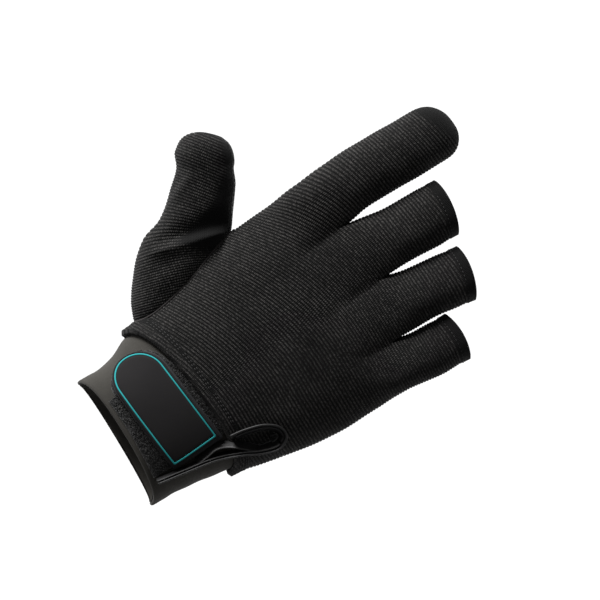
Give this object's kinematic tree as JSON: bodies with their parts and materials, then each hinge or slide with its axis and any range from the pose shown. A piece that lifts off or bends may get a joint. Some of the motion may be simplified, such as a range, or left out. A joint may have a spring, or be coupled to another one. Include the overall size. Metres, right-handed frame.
{
  "type": "fishing glove",
  "caption": "Right-hand fishing glove with ribbed back, closed thumb and index finger, open outer fingers and a wrist strap with a rubber badge.",
  "frame": {"origin": "middle of the wrist opening, where the hand goes in", "axes": "palm down: +Z out of the back of the hand, +Y along the fingers, -X towards the thumb"},
  "size_m": [0.1411, 0.1894, 0.0468],
  "materials": {
    "ribbed_knit": "fine ribbed matte",
    "synthetic_leather": "smooth satin",
    "neoprene": "smooth matte",
    "loop_pile": "fuzzy matte",
    "strap_fabric": "matte",
    "badge_rubber": "satin",
    "badge_line": "satin"
  },
  "bodies": {
    "root": {"back_panel": "ribbed_knit", "palm_panel": "synthetic_leather", "thumb_back": "ribbed_knit", "thumb_palm": "synthetic_leather", "wrist_cuff": "neoprene", "pile_field": "loop_pile", "strap": "strap_fabric", "badge": "badge_rubber", "badge_line": "badge_line", "pull_loop": "synthetic_leather"}
  },
  "joints": []
}
